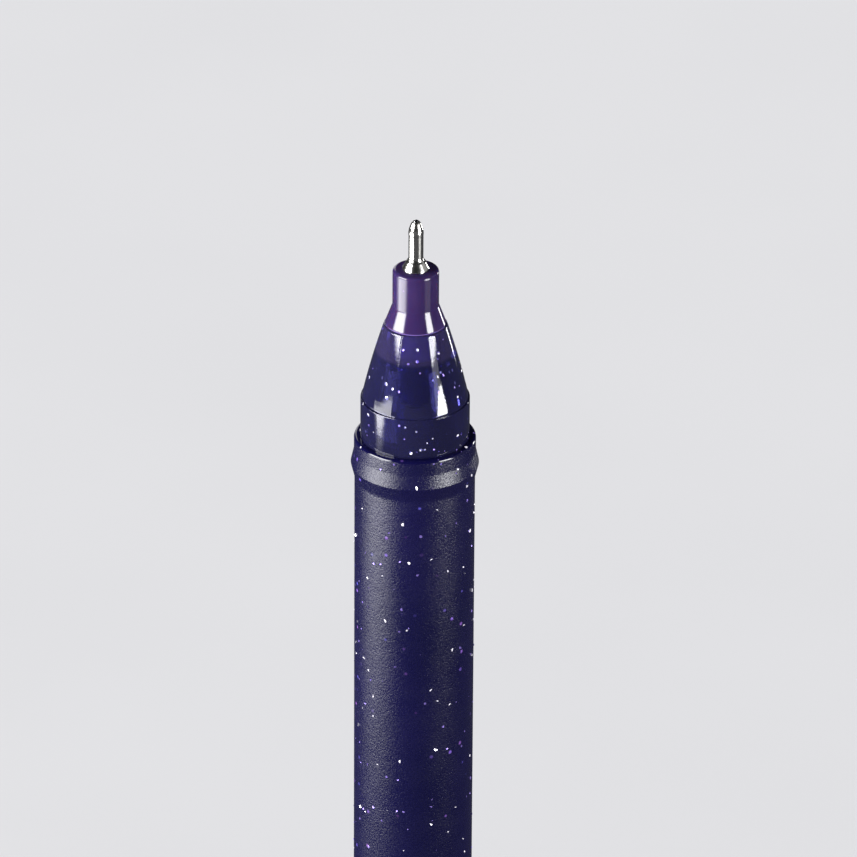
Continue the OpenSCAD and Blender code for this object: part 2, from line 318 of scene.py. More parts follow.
def shade(base, *factors):
    """A colour with its channels scaled, by one factor or by one each."""
    return tuple(min(1, c * f) for c, f in zip(base, factors * 3 if len(factors) == 1 else factors))


class Finish:
    """A material under construction: its Principled shader, and the shared effects it uses."""

    def __init__(self, groups, name, base, **sockets):
        self.groups = groups
        self.material = bpy.data.materials.new(name)
        self.material.use_nodes = True
        self.tree = self.material.node_tree
        self.shader = self.tree.nodes["Principled BSDF"]
        self.place = add(self.tree, "ShaderNodeTexCoord").outputs["Object"]
        self.colour = add(self.tree, "ShaderNodeRGB").outputs[0]
        self.colour.default_value = (*base, 1)
        for key, value in sockets.items():
            self.shader.inputs[key.replace("_", " ")].default_value = value

    def use(self, group, **values):
        """The outputs of a shared group, placed on this material."""
        inputs = {key.replace("_", " ").capitalize(): value for key, value in values.items()}
        return add(self.tree, "ShaderNodeGroup", {"Vector": self.place, **inputs},
                   node_tree=self.groups[group]).outputs

    def mix(self, mask, tint):
        """Blends a colour, or a colour socket, over the base colour by a mask."""
        over = tint if isinstance(tint, bpy.types.NodeSocket) else (*tint, 1)
        mixed = add(self.tree, "ShaderNodeMix", {0: mask, "A": self.colour, "B": over}, data_type="RGBA")
        self.colour = mixed.outputs["Result"]

    def cloud(self, per_metre, start=0.35, stop=0.65, detail=3.0):
        return ramp(self.tree, noise(self.tree, self.place, per_metre, detail), start, stop)

    def height(self):
        """Height along the pen, as a value."""
        return add(self.tree, "ShaderNodeSeparateXYZ", {0: self.place}).outputs["Z"]

    def math(self, operation, first, second):
        return calc(self.tree, operation, first, second)

    def rough(self, *terms):
        """Roughness from a plain start and (mask, amount) terms added to it."""
        total = terms[0]
        for mask, amount in terms[1:]:
            total = self.math("ADD", total, self.math("MULTIPLY", mask, amount))
        self.tree.links.new(total, self.shader.inputs["Roughness"])

    def bump(self, height, depth, strength=1.0):
        made = add(self.tree, "ShaderNodeBump", {"Height": height, "Strength": strength, "Distance": depth})
        self.tree.links.new(made.outputs["Normal"], self.shader.inputs["Normal"])

    def worn(self, start, smudges, scuffs, size=1.0):
        """Roughness that the handling marks vary."""
        marks = self.use("marks", size=size)
        self.rough(start, (marks["Smudges"], smudges), (marks["Scuffs"], scuffs))

    def grained(self, per_metre, swell, depth, strength=0.5):
        """Bump from the mould's grain."""
        self.bump(self.use("grain", grain_per_metre=per_metre, swell=swell)["Height"], depth, strength)

    def flecked(self, per_metre, share, strength):
        """Deep flecks over the base colour."""
        flecks = self.use("flecks", flecks_per_metre=per_metre, share=share)
        self.mix(self.math("MULTIPLY", flecks["Mask"], strength), flecks["Tint"])

    def done(self):
        self.tree.links.new(self.colour, self.shader.inputs["Base Color"])
        return self.material


# Materials

def satin_resin(groups, base, rim_z):
    """Spark-eroded satin plastic, glossy only on the mouth's end face."""
    skin = Finish(groups, "Satin glitter resin", base, IOR=1.49, Specular_IOR_Level=0.5)
    skin.mix(skin.cloud(90.0), shade(base, 1.5, 1.3, 1.25))
    skin.flecked(760.0, 0.5, 0.75)
    grain = skin.use("grain", grain_per_metre=6500.0, swell=0.35)["Height"]
    marks = skin.use("marks", size=1.0)
    end_face = ramp(skin.tree, skin.height(), rim_z - 0.25 * MM, rim_z - 0.2 * MM)
    matte = skin.math("SUBTRACT", 1.0, end_face)
    speckle = ramp(skin.tree, grain, 0.45, 0.85)
    skin.rough(0.08, (matte, 0.13), *((skin.math("MULTIPLY", mask, matte), amount) for mask, amount in (
        (speckle, 0.14), (marks["Smudges"], -0.03), (marks["Scuffs"], -0.06))))
    skin.bump(skin.math("MULTIPLY", grain, matte), 0.045 * MM, 0.9)
    return skin.done()


def clear_resin(groups, base):
    """Tinted see-through resin of the front section, with painted lilac light where the purple spigot sits inside
    it, on top of the spigot that shows through for real.
    """
    glass = Finish(groups, "Clear tinted resin", base, IOR=1.49, Transmission_Weight=0.9)
    glass.mix(glass.cloud(260.0), shade(base, 1.3, 1.3, 1.15))
    spigot_z = high("ink_tube").z
    # painted light: lilac from just above the ink tube's top upward, standing in for the purple spigot seen through
    # the resin
    glass.mix(ramp(glass.tree, glass.height(), spigot_z + 0.1 * MM, spigot_z + 0.5 * MM), (0.17, 0.14, 0.42))
    glass.worn(0.02, 0.02, 0.05)
    glass.grained(900.0, 1.0, 0.004 * MM)
    tree = glass.tree
    inside = add(tree, "ShaderNodeVolumeAbsorption", {"Color": (0.2, 0.18, 0.6, 1), "Density": 250.0})
    output = next(n for n in tree.nodes if n.bl_idname == "ShaderNodeOutputMaterial")
    tree.links.new(inside.outputs[0], output.inputs["Volume"])
    return glass.done()


def gloss_resin(groups, name, base):
    """Deep-coloured glossy moulded plastic with flecks under its surface."""
    skin = Finish(groups, name, base, IOR=1.49, Coat_Weight=0.6, Coat_Roughness=0.03)
    skin.mix(skin.cloud(120.0), shade(base, 1.45))
    skin.flecked(800.0, 0.45, 0.8)
    skin.worn(0.10, 0.06, 0.16)
    skin.grained(800.0, 1.0, 0.006 * MM)
    return skin.done()


def purple_resin(groups, base, edge_z):
    """Translucent purple plastic, painted lilac from just above the front section's face downward: painted light
    along the flare's thin lower edge, which covers everything lower too.
    """
    skin = Finish(groups, "Purple resin", base, IOR=1.49, Subsurface_Weight=0.25, Subsurface_Scale=0.6 * MM)
    skin.mix(skin.cloud(220.0), shade(base, 1.5, 1.7, 1.35))
    # painted light: lilac over every height below just above the front section's face, for the bright lilac line on
    # the flare's lower edge
    skin.mix(ramp(skin.tree, skin.height(), edge_z + 0.18 * MM, edge_z + 0.05 * MM), (0.26, 0.17, 0.52))
    skin.flecked(800.0, 0.25, 0.9)
    skin.worn(0.09, 0.05, 0.14)
    skin.grained(900.0, 1.0, 0.006 * MM)
    return skin.done()


def turned_steel(groups):
    """Polished stainless steel with the fine rings that a lathe leaves."""
    steel = Finish(groups, "Turned steel", (0.80, 0.79, 0.76), Metallic=1.0)
    rings = add(steel.tree, "ShaderNodeTexNoise", {"W": steel.height(), "Scale": 60000.0, "Detail": 2.0},
                noise_dimensions="1D").outputs["Fac"]
    smudges = steel.use("marks", size=4.0)["Smudges"]
    steel.mix(steel.math("MULTIPLY", smudges, 0.5), (0.62, 0.60, 0.55))
    steel.rough(0.12, (smudges, 0.08), (rings, 0.06))
    steel.bump(rings, 0.0003 * MM, 0.5)
    return steel.done()


def plain_metal(groups, name, base, roughness):
    metal = Finish(groups, name, base, Metallic=1.0)
    marks = metal.use("marks", size=6.0)
    metal.mix(marks["Smudges"], shade(base, 0.8))
    metal.rough(roughness, (marks["Scuffs"], 0.15), (marks["Smudges"], 0.05))
    return metal.done()


def milky_plastic(groups, name, base, roughness, **sockets):
    """Unpainted soft plastic with faint flow clouds and a light grain."""
    skin = Finish(groups, name, base, IOR=1.5, **sockets)
    skin.mix(skin.cloud(300.0), shade(base, 0.86))
    skin.worn(roughness, 0.08, 0.10, size=1.5)
    skin.grained(3000.0, 0.6, 0.01 * MM, 0.4)
    return skin.done()


def wet_gel(groups, base):
    gel = Finish(groups, "Wet gel ink", base, IOR=1.36, Coat_Weight=0.5)
    gel.mix(gel.cloud(700.0), shade(base, 2.2))
    gel.rough(0.08, (gel.cloud(1500.0), 0.06))
    return gel.done()


def flake_metal(groups, name, base, painted_glow):
    """Metallised film of a glitter flake, its shade changing from flake to flake, with painted light: the film emits
    light in its own colour, though it is no lamp.
    """
    # painted light: emission in the film's own colour makes every flake shine without a lamp
    film = Finish(groups, name, base, Metallic=0.7, Emission_Strength=painted_glow, Emission_Color=(*base, 1))
    film.mix(film.cloud(2500.0, 0.3, 0.7, 0.0), shade(base, 0.55))
    film.rough(0.28, (film.cloud(9000.0), 0.2))
    return film.done()


def make_materials(colours):
    groups = {"grain": mould_grain(), "marks": handling_marks(), "flecks": deep_flecks()}
    return {
        "satin": satin_resin(groups, tuple(colours.satin), high("barrel").z),
        "clear": clear_resin(groups, tuple(colours.clear)),
        "cap": gloss_resin(groups, "Deep glitter resin", tuple(colours.cap)),
        "purple": purple_resin(groups, tuple(colours.purple), high("front_section").z),
        "steel": turned_steel(groups),
        "wire": plain_metal(groups, "Spring wire", (0.62, 0.62, 0.63), 0.25),
        "carbide": plain_metal(groups, "Lapped carbide", (0.48, 0.48, 0.5), 0.08),
        "tube": milky_plastic(groups, "Translucent tube", (0.88, 0.90, 0.94), 0.05, Transmission_Weight=0.96),
        "liner": milky_plastic(groups, "Soft liner plastic", (0.86, 0.86, 0.88), 0.38),
        "grease": milky_plastic(groups, "Follower grease", (0.82, 0.70, 0.38), 0.12, Transmission_Weight=0.5),
        "rubber": milky_plastic(groups, "Seal rubber", (0.07, 0.07, 0.08), 0.6),
        "ink": wet_gel(groups, tuple(colours.ink)),
        # the last number is how much painted light each kind of flake emits
        "bright_flake": flake_metal(groups, "Bright flake", (0.93, 0.90, 1.0), 0.8),
        "dim_flake": flake_metal(groups, "Dim flake", (0.30, 0.22, 0.70), 0.25),
    }


MATERIALS = {}


def finish_of(name):
    if not MATERIALS:
        MATERIALS.update(make_materials(bpy.context.scene.pen_colours))
    return MATERIALS[name]


def turned_piece(name, outline, segments, material, body, slot, node):
    """Turns an outline into a piece and settles it in place of its CAD node."""
    piece = finished(name, [turned(outline, round_turn(segments))], finish_of(material))
    settle(piece, body, slot, node)


# Outlines of the turned parts, as (radius, height) pairs running outward, up and back inside

SEAM_SIDE = math.radians(-90 - 27)      # parting line a little left of the front
SEAMS = (SEAM_SIDE % math.tau, (SEAM_SIDE + math.pi) % math.tau)


def barrel_skin(sizes):
    """Outer profile of the barrel, from the tail to the inner edge of its mouth."""
    tail_z, rim_z = span("barrel")
    barrel_r = sizes.barrel_d / 2
    bead_r = high("barrel").x
    neck_r = sizes.neck_d / 2
    crest = 0.14 * MM
    rim = 0.24 * MM
    chamfer = 0.2 * MM
    foot = (barrel_r, rim_z - sizes.bead_foot)
    return ([(barrel_r - chamfer, tail_z), (barrel_r, tail_z + chamfer)]
            + [(barrel_r, tail_z + (foot[1] - tail_z) * i / 24) for i in range(1, 24)]
            + [foot, (foot[0] + 0.02 * MM, foot[1] + 0.2 * MM)]
            + arc((bead_r - crest, rim_z - sizes.bead_crest), crest, -13, 13, 6)
            + [(neck_r + 0.012 * MM, rim_z - sizes.bead_top - 0.04 * MM),
               (neck_r, rim_z - sizes.bead_top + 0.04 * MM)]
            + arc((neck_r - rim, rim_z - rim), rim, 0, 90, 8))


def barrel_outline(sizes):
    """Whole barrel, with the counterbore and the snap groove that hold the front section."""
    skin = barrel_skin(sizes)
    tail_z, rim_z = span("barrel")
    bore_r = sizes.barrel_d / 2 - sizes.barrel_wall
    socket_r = bore_r + SOCKET_STEP
    mouth_r = high("front_section").x - TUCK + FIT
    seat_z = rim_z - sizes.seat_depth
    socket_end_z = seat_z - 12 * MM
    lead_in = TUCK + 0.02 * MM
    groove = reversed(snap(socket_r, seat_z - SNAP_DOWN, 0.4 * MM))
    inside = [(mouth_r + lead_in, rim_z), (mouth_r, rim_z - lead_in), (mouth_r, seat_z), (socket_r, seat_z),
              *groove, (socket_r, socket_end_z), (bore_r, socket_end_z), (bore_r, tail_z)]
    return skin + inside


def snap(radius, middle_z, half_crest):
    """Profile of the snap ring or its groove, from the lower foot over the crest to the upper foot."""
    foot, crest_r = 0.8 * MM, radius + 0.12 * MM
    return [(radius, middle_z - foot), (crest_r, middle_z - half_crest), (crest_r, middle_z + half_crest),
            (radius, middle_z + foot)]


def cone_skin(sizes):
    """Outer profile of the front section, from the rim up to its front face."""
    rim_z = high("barrel").z
    cone_z = high("front_section").z
    land_r = high("front_section").x
    land_z = rim_z + sizes.land_h
    step = 0.07 * MM
    nose = 0.15 * MM
    belly = 0.09 * MM
    tip_r = sizes.cone_tip_d / 2
    face_edge = arc((tip_r - nose, cone_z - nose), nose, 18, 90, 8)
    foot, top = (land_r - step * 2, land_z + step * 2), face_edge[0]
    bowed = [(foot[0] + (top[0] - foot[0]) * t + 4 * belly * t * (1 - t), foot[1] + (top[1] - foot[1]) * t)
             for t in (i / 16 for i in range(16))]
    return ([(land_r, rim_z)] + arc((land_r - step * 0.6, land_z - step * 0.6), step * 0.6, 0, 90, 4)
            + [(land_r - step * 1.5, land_z), (land_r - step * 1.9, land_z + step * 0.3)] + bowed + face_edge)


def cone_outline(sizes):
    rim_z = high("barrel").z
    cone_z = high("front_section").z
    land_r = high("front_section").x
    land_z = rim_z + sizes.land_h
    seat_z = rim_z - sizes.seat_depth
    bore_r = sizes.section_bore_d / 2
    spigot_r = sizes.barrel_d / 2 - sizes.barrel_wall + SOCKET_STEP - FIT
    wide_r = 3.5 * MM
    foot_z = low("front_section").z
    spigot_z = high("ink_tube").z
    below = [(wide_r, foot_z), (spigot_r - 0.5 * MM, foot_z), (spigot_r, foot_z + 0.5 * MM),
             *snap(spigot_r, seat_z - SNAP_DOWN, 0.38 * MM),
             (spigot_r, seat_z), (land_r - TUCK, seat_z), (land_r - TUCK, rim_z - TUCK)]
    inside = [(bore_r, cone_z), (bore_r, spigot_z - 0.6 * MM), (2.5 * MM, spigot_z - 0.9 * MM),
              (3.3 * MM, land_z - 0.4 * MM), (wide_r, rim_z + 1 * MM)]
    return below + cone_skin(sizes) + inside


def plug_outline(sizes):
    """Tail plug: the post that takes the cap, the insert in the barrel and the refill's guide."""
    end_z, top_z = span("tail_plug")
    tail_z = low("barrel").z
    post_r = high("tail_plug").x
    insert_r = sizes.barrel_d / 2 - sizes.barrel_wall - FIT
    wall = 1.0 * MM
    shell_r = post_r - wall
    guide_r = 2.25 * MM
    guide_out = guide_r + 0.7 * MM
    vent_r = 0.6 * MM
    edge = 0.6 * MM
    return ([(vent_r, end_z)] + arc((post_r - edge, end_z + edge), edge, -90, 0, 8)
            + [(post_r, tail_z - FIT), (insert_r, tail_z - FIT), (insert_r, top_z - 0.6 * MM),
               (insert_r - 0.4 * MM, top_z), (shell_r - 0.4 * MM, top_z), (shell_r - 0.4 * MM, tail_z),
               (shell_r, tail_z - 1 * MM), (shell_r, end_z + wall), (guide_out, end_z + wall),
               (guide_out, tail_z - 1.5 * MM), (guide_r, tail_z - 2 * MM), (guide_r, end_z + wall),
               (vent_r, end_z + wall)])


def holder_outline(sizes):
    """Purple holder: nipple, spigot, flare with a rounded lower edge, cylinder and softly rounded crown."""
    nipple_z, top_z = span("tip_holder")
    cone_z = high("front_section").z + FIT
    spigot_z = high("ink_tube").z + FIT
    flare_r = high("tip_holder").x
    holder_r = sizes.holder_d / 2
    spigot_r = sizes.section_bore_d / 2 - FIT
    nipple_r = high("gel_ink").x
    channel_r = 0.7 * MM
    shank_r = 1.02 * MM
    shank_z = low("tip_body").z - 0.1 * MM
    flare_top_z = top_z - 3.4 * MM
    rim = 0.12 * MM
    crown = 0.3 * MM
    return ([(channel_r, nipple_z), (nipple_r - 0.4 * MM, nipple_z), (nipple_r, nipple_z + 0.8 * MM),
             (nipple_r, spigot_z), (spigot_r, spigot_z), (spigot_r, cone_z), (flare_r - rim, cone_z)]
            + arc((flare_r - rim, cone_z + rim), rim, -90, 18, 7)
            + arc((holder_r + 0.35 * MM, flare_top_z + 0.08 * MM), 0.35 * MM, 199, 180, 4)
            + arc((holder_r - crown, top_z - crown), crown, 0, 90, 8)
            + [(shank_r + 0.16 * MM, top_z), (shank_r, top_z - 0.06 * MM), (shank_r, shank_z),
               (channel_r, shank_z)])


def tip_outline(sizes):
    """Steel tip: crimped nose, needle, cone at its base and the shank in the holder."""
    shank_z, lip_z = span("tip_body")
    base_r = high("tip_body").x
    top_z = high("tip_holder").z
    ball_z = (low("ball").z + high("ball").z) / 2
    ball_r = high("ball").x
    socket_r = ball_r + 0.012 * MM
    needle_r = sizes.needle_d / 2
    mouth_r = math.sqrt(socket_r ** 2 - (lip_z - ball_z) ** 2)
    channel_r = 0.16 * MM
    channel_turn = math.degrees(math.acos(channel_r / socket_r))
    lip_turn = math.degrees(math.asin((lip_z - ball_z) / socket_r))
    nose_h = 1.15 * MM
    nose_r = 0.31 * MM
    return ([(0.3 * MM, shank_z), (0.85 * MM, shank_z), (1.0 * MM, shank_z + 0.4 * MM), (1.0 * MM, top_z + FIT),
             (base_r - 0.03 * MM, top_z + FIT), (base_r, top_z + 0.05 * MM), (base_r - 0.01 * MM, top_z + 0.12 * MM)]
            + arc((needle_r + 0.5 * MM, top_z + 1.12 * MM), 0.5 * MM, 232, 180, 8)
            + [(needle_r, lip_z - nose_h - 0.15 * MM)]
            + [(nose_r + (needle_r + 0.015 * MM - nose_r) * (1 - (i / 10) ** 2), lip_z - nose_h * (1 - i / 10))
               for i in range(10)]
            + [(nose_r, lip_z - 0.03 * MM), (nose_r - 0.04 * MM, lip_z), (mouth_r, lip_z)]
            + arc((0, ball_z), socket_r, lip_turn, -channel_turn, 10)
            + [(channel_r, top_z + 0.6 * MM), (0.5 * MM, top_z + 0.2 * MM), (0.5 * MM, shank_z + 0.5 * MM),
               (0.3 * MM, shank_z + 0.4 * MM)])


def tube_outline(sizes):
    bottom, top = span("ink_tube")
    tube_r = high("ink_tube").x
    bore_r = high("gel_ink").x + FIT
    edge = 0.06 * MM
    return [(bore_r, bottom), (tube_r - edge, bottom), (tube_r, bottom + edge), (tube_r, top - edge),
            (tube_r - edge, top), (bore_r, top)]


def ink_outline(sizes):
    bottom, top = span("gel_ink")
    ink_r = high("gel_ink").x
    nipple_z = low("tip_holder").z - FIT
    return [(0, bottom), (ink_r, bottom), (ink_r, nipple_z), (0.68 * MM, nipple_z), (0.68 * MM, top), (0, top)]


def follower_outline(sizes):
    bottom, top = span("ink_follower")
    follower_r = high("ink_follower").x
    hole_r = high("follower_float").x + FIT
    float_top = high("follower_float").z + FIT
    return ([(hole_r, bottom + 0.6 * MM), (follower_r * 0.75, bottom + 0.42 * MM), (follower_r, bottom),
             (follower_r, top), (0, top), (0, float_top), (hole_r, float_top)])


def shell_skin():
    """Outer profile of the cap shell, from the joint with the crown to the mouth."""
    foot_z, mouth_z = span("cap_shell")
    cap_r = high("cap_shell").y - FLAKE_ROOM
    lip = 0.4 * MM
    return ([(cap_r - 0.05 * MM, foot_z), (cap_r, foot_z + 0.05 * MM)]
            + [(cap_r, foot_z + (mouth_z - lip - foot_z) * i / 16) for i in range(1, 16)]
            + arc((cap_r - lip, mouth_z - lip), lip, 0, 90, 8))


def shell_outline():
    foot_z, mouth_z = span("cap_shell")
    bore_r = high("tail_plug").x + POST_GAP
    inner_z = low("cap_liner").z - 0.5 * MM
    crown_bore_r = bore_r - CROWN_STEP
    return (shell_skin() + [(bore_r + 0.25 * MM, mouth_z), (bore_r, mouth_z - 0.4 * MM), (bore_r, inner_z),
                            (crown_bore_r, inner_z - 0.3 * MM), (crown_bore_r, foot_z)])


def crown_outline():
    """Crown with a rounded edge and a shallow dish in its end face."""
    cap_r = high("cap_crown").x
    top_z = high("cap_crown").z
    shoulder_z = low("cap_shell").z - FIT
    plug_r = high("tail_plug").x + POST_GAP - CROWN_STEP - FIT
    edge = 0.9 * MM
    dish_r = 2.2 * MM
    return ([(0, 0.18 * MM), (dish_r - 0.5 * MM, 0.18 * MM), (dish_r - 0.1 * MM, 0.06 * MM), (dish_r, 0)]
            + arc((cap_r - edge, edge), edge, -90, 0, 10)
            + [(cap_r, shoulder_z - 0.06 * MM), (cap_r - 0.06 * MM, shoulder_z), (plug_r, shoulder_z),
               (plug_r, top_z - 0.4 * MM), (plug_r - 0.4 * MM, top_z), (plug_r - 1.2 * MM, top_z),
               (plug_r - 1.2 * MM, 1.6 * MM), (0, 1.6 * MM)])


def liner_outline():
    bottom, mouth_z = span("cap_liner")
    liner_r = high("cap_liner").x
    bore_r, lip_r, floor = 3.0 * MM, 2.72 * MM, 1.2 * MM
    return [(0, bottom), (liner_r - 0.2 * MM, bottom), (liner_r, bottom + 0.2 * MM), (liner_r, mouth_z - 3 * MM),
            (bore_r + 0.6 * MM, mouth_z - 0.1 * MM), (bore_r + 0.5 * MM, mouth_z), (lip_r + 0.1 * MM, mouth_z),
            (lip_r, mouth_z - 0.1 * MM), (lip_r, mouth_z - 0.5 * MM), (bore_r, mouth_z - 1 * MM),
            (bore_r, bottom + floor), (0, bottom + floor)]


def seal_outline():
    bottom, top = span("tip_seal")
    seal_r = high("tip_seal").x
    return ([(0, bottom), (seal_r, bottom)] + arc((seal_r - 0.6 * MM, top - 0.6 * MM), 0.6 * MM, 0, 90, 6)
            + [(0.6 * MM, top), (0.3 * MM, top - 0.14 * MM), (0, top - 0.2 * MM)])


def seam_ridge(outer_r, height):
    """Lifts the skin along the parting lines into a very fine ridge."""
    def lift(a, radius, z):
        on_seam = any(abs(a - seam) < math.radians(PAST_SEAM) / 2 for seam in SEAMS)
        return height if on_seam and radius > outer_r(z) else 0
    return lift


# The clip

def rounded_box_ring(z, inner_x, outer_x, half_w, radius, steps=5):
    """One ring of the clip's loft: a rectangle in X and Y with rounded corners."""
    radius = min(radius, (outer_x - inner_x) / 2.02, half_w / 1.01)
    corners = ((outer_x - radius, half_w - radius, 0), (inner_x + radius, half_w - radius, 90),
               (inner_x + radius, radius - half_w, 180), (outer_x - radius, radius - half_w, 270))
    ring = []
    for x, y, start in corners:
        for i in range(steps + 1):
            turn = math.radians(start + 90 * i / steps)
            ring.append((x + radius * math.cos(turn), y + radius * math.sin(turn), z))
    return ring


def clip_arm(sizes):
    """The clip's arm: it thins upward, ends round and carries a nub on its inner side."""
    root_z = low("cap_clip").z + KNUCKLE_R
    top_z = high("cap_clip").z
    pivot_x = high("cap_clip").x - KNUCKLE_R
    nub_z, nub_r = 38 * MM, 1.3 * MM
    nub_x = pivot_x - 0.45 * MM
    half_w = sizes.clip_w / 2
    end_r = half_w - 0.35 * MM
    start_z = root_z + 0.45 * MM
    narrowing = 0.35 * MM
    end_h = 1.2 * MM
    end_cut = 0.5 * MM
    sections = []
    steps = 90
    for i in range(steps + 1):
        share = i / steps
        z = start_z + (top_z - start_z) * math.sin(share * math.pi / 2)
        outer_x = pivot_x + (0.94 - 0.25 * (z - root_z) / (top_z - root_z)) * MM
        inner_x = pivot_x - 0.6 * MM
        if abs(z - nub_z) < nub_r:
            inner_x = min(inner_x, nub_x - math.sqrt(nub_r ** 2 - (z - nub_z) ** 2))
        to_top = top_z - z
        if to_top < end_h:
            ease = 1 - math.sqrt(max(0, 1 - ((end_h - to_top) / end_h) ** 2))
            outer_x -= end_cut * ease
            inner_x += end_cut * ease
        width = half_w - narrowing * (z - root_z) / (top_z - root_z)
        if to_top < end_r:
            width = min(width, math.sqrt(max(1e-12, end_r ** 2 - (end_r - to_top) ** 2)))
        sections.append(rounded_box_ring(z, inner_x, outer_x, max(width, 0.25 * MM), 0.3 * MM))
    return lofted(sections)


def clip_knuckle(sizes):
    """Round root of the clip that bends in the cap's bridge."""
    half_w = sizes.clip_w / 2
    edge = 0.12 * MM
    outline = ([(0, -half_w)] + arc((KNUCKLE_R - edge, edge - half_w), edge, -90, 0, 4)
               + arc((KNUCKLE_R - edge, half_w - edge), edge, 0, 90, 4) + [(0, half_w)])
    shape = turned(outline, round_turn(64))
    centre = Vector((high("cap_clip").x - KNUCKLE_R, 0, low("cap_clip").z + KNUCKLE_R))
    laid = Matrix.Translation(centre) @ Matrix.Rotation(math.pi / 2, 4, "X")
    bmesh.ops.transform(shape, verts=shape.verts, matrix=laid)
    return shape


def clip_bridge(sizes):
    """Block on the cap that carries the clip, with a round cradle for its knuckle."""
    radius = 1.0 * MM
    centre = (high("cap_clip").x - KNUCKLE_R, low("cap_clip").z + KNUCKLE_R)
    root_x = high("tail_plug").x + 0.5 * MM
    half_w = sizes.clip_w / 2
    edge = 0.15 * MM
    cradle = arc(centre, radius, 270, 150, 14)
    side = [(root_x, 3.2 * MM), (centre[0] - 0.9 * MM, 3.5 * MM), (centre[0] - 0.1 * MM, 3.7 * MM)] + cradle \
        + [(7.1 * MM, 5.85 * MM), (6.75 * MM, 6.7 * MM), (6.4 * MM, 7.1 * MM), (root_x, 8.2 * MM)]
    middle = (sum(p[0] for p in side) / len(side), sum(p[1] for p in side) / len(side))

    def ring(y, inset):
        points = []
        for x, z in side:
            gap = math.hypot(x - middle[0], z - middle[1])
            shrink = 1 - inset / gap
            points.append((middle[0] + (x - middle[0]) * shrink, y, middle[1] + (z - middle[1]) * shrink))
        return points

    levels = [(-half_w, edge), (-half_w + edge * 0.3, edge * 0.3), (-half_w + edge, 0),
              (half_w - edge, 0), (half_w - edge * 0.3, edge * 0.3), (half_w, edge)]
    return lofted([ring(y, inset) for y, inset in levels])


def cap_rib(index, count):
    """One of the ribs in the cap's mouth that grip the pen."""
    bore_r = high("tail_plug").x + POST_GAP
    mouth_z = high("cap_shell").z
    turn = math.tau * index / count + math.radians(30)
    half_w = 0.3 * MM
    proud = 0.06 * MM
    sections = []
    for share, rise in ((0, 0), (0.06, 0.6), (0.12, 1), (0.88, 1), (0.94, 0.6), (1, 0)):
        z = mouth_z - 9 * MM + 8 * MM * share
        inner = bore_r - proud * rise
        ring = [(bore_r + 0.15 * MM, -half_w), (bore_r + 0.15 * MM, half_w), (inner + 0.02 * MM, half_w * 0.9),
                (inner, half_w * 0.5), (inner, -half_w * 0.5), (inner + 0.02 * MM, -half_w * 0.9)]
        sections.append([(x * math.cos(turn) - y * math.sin(turn), x * math.sin(turn) + y * math.cos(turn), z)
                         for x, y in ring])
    return lofted(sections)


# Glitter, by Geometry Nodes

def flake_scatter():
    """Tree that scatters six-sided flakes over a skin, tilts and sinks them, and makes them real."""
    tree = bpy.data.node_groups.new("Flake scatter", "GeometryNodeTree")
    faces = tree.interface
    faces.new_socket(name="Geometry", in_out="INPUT", socket_type="NodeSocketGeometry")
    wanted = [("Per square metre", "NodeSocketFloat"), ("Flake width", "NodeSocketFloat"),
              ("Flake thickness", "NodeSocketFloat"), ("Tilt", "NodeSocketFloat"),
              ("Shallowest", "NodeSocketFloat"), ("Deepest", "NodeSocketFloat"), ("Smallest", "NodeSocketFloat"),
              ("Seed", "NodeSocketInt"), ("Film", "NodeSocketMaterial")]
    for label, kind in wanted:
        faces.new_socket(name=label, in_out="INPUT", socket_type=kind)
    faces.new_socket(name="Geometry", in_out="OUTPUT", socket_type="NodeSocketGeometry")
    given = tree.nodes.new("NodeGroupInput").outputs
    out = tree.nodes.new("NodeGroupOutput")

    def drawn(least, most, offset):
        """A random number per flake, with its own offset from the seed."""
        seed = calc(tree, "ADD", given["Seed"], offset)
        return add(tree, "FunctionNodeRandomValue", {2: least, 3: most, "Seed": seed}, data_type="FLOAT").outputs[1]

    points = add(tree, "GeometryNodeDistributePointsOnFaces",
                 {"Mesh": given["Geometry"], "Density": given["Per square metre"], "Seed": given["Seed"]}).outputs
    depth = drawn(given["Shallowest"], given["Deepest"], 11)
    shift = add(tree, "ShaderNodeVectorMath", {0: points["Normal"], "Scale": calc(tree, "MULTIPLY", depth, -1.0)},
                operation="SCALE")
    sunk = add(tree, "GeometryNodeSetPosition", {"Geometry": points["Points"], "Offset": shift.outputs[0]})
    half = calc(tree, "MULTIPLY", given["Flake width"], 0.5)
    flake = add(tree, "GeometryNodeMeshCylinder",
                {"Vertices": 6, "Radius": half, "Depth": given["Flake thickness"]}, fill_type="NGON")
    lean = calc(tree, "MULTIPLY", given["Tilt"], -1.0)
    turn = add(tree, "ShaderNodeCombineXYZ", {"X": drawn(lean, given["Tilt"], 23),
                                              "Y": drawn(lean, given["Tilt"], 37), "Z": drawn(0.0, math.tau, 41)})
    leaned = add(tree, "FunctionNodeRotateRotation", {0: points["Rotation"], 1: turn.outputs[0]},
                 rotation_space="LOCAL")
    placed = add(tree, "GeometryNodeInstanceOnPoints",
                 {"Points": sunk.outputs[0], "Instance": flake.outputs["Mesh"], "Rotation": leaned.outputs[0],
                  "Scale": drawn(given["Smallest"], 1.0, 53)})
    real = add(tree, "GeometryNodeRealizeInstances", {0: placed.outputs[0]})
    painted = add(tree, "GeometryNodeSetMaterial", {"Geometry": real.outputs[0], "Material": given["Film"]})
    tree.links.new(painted.outputs[0], out.inputs[0])
    return tree


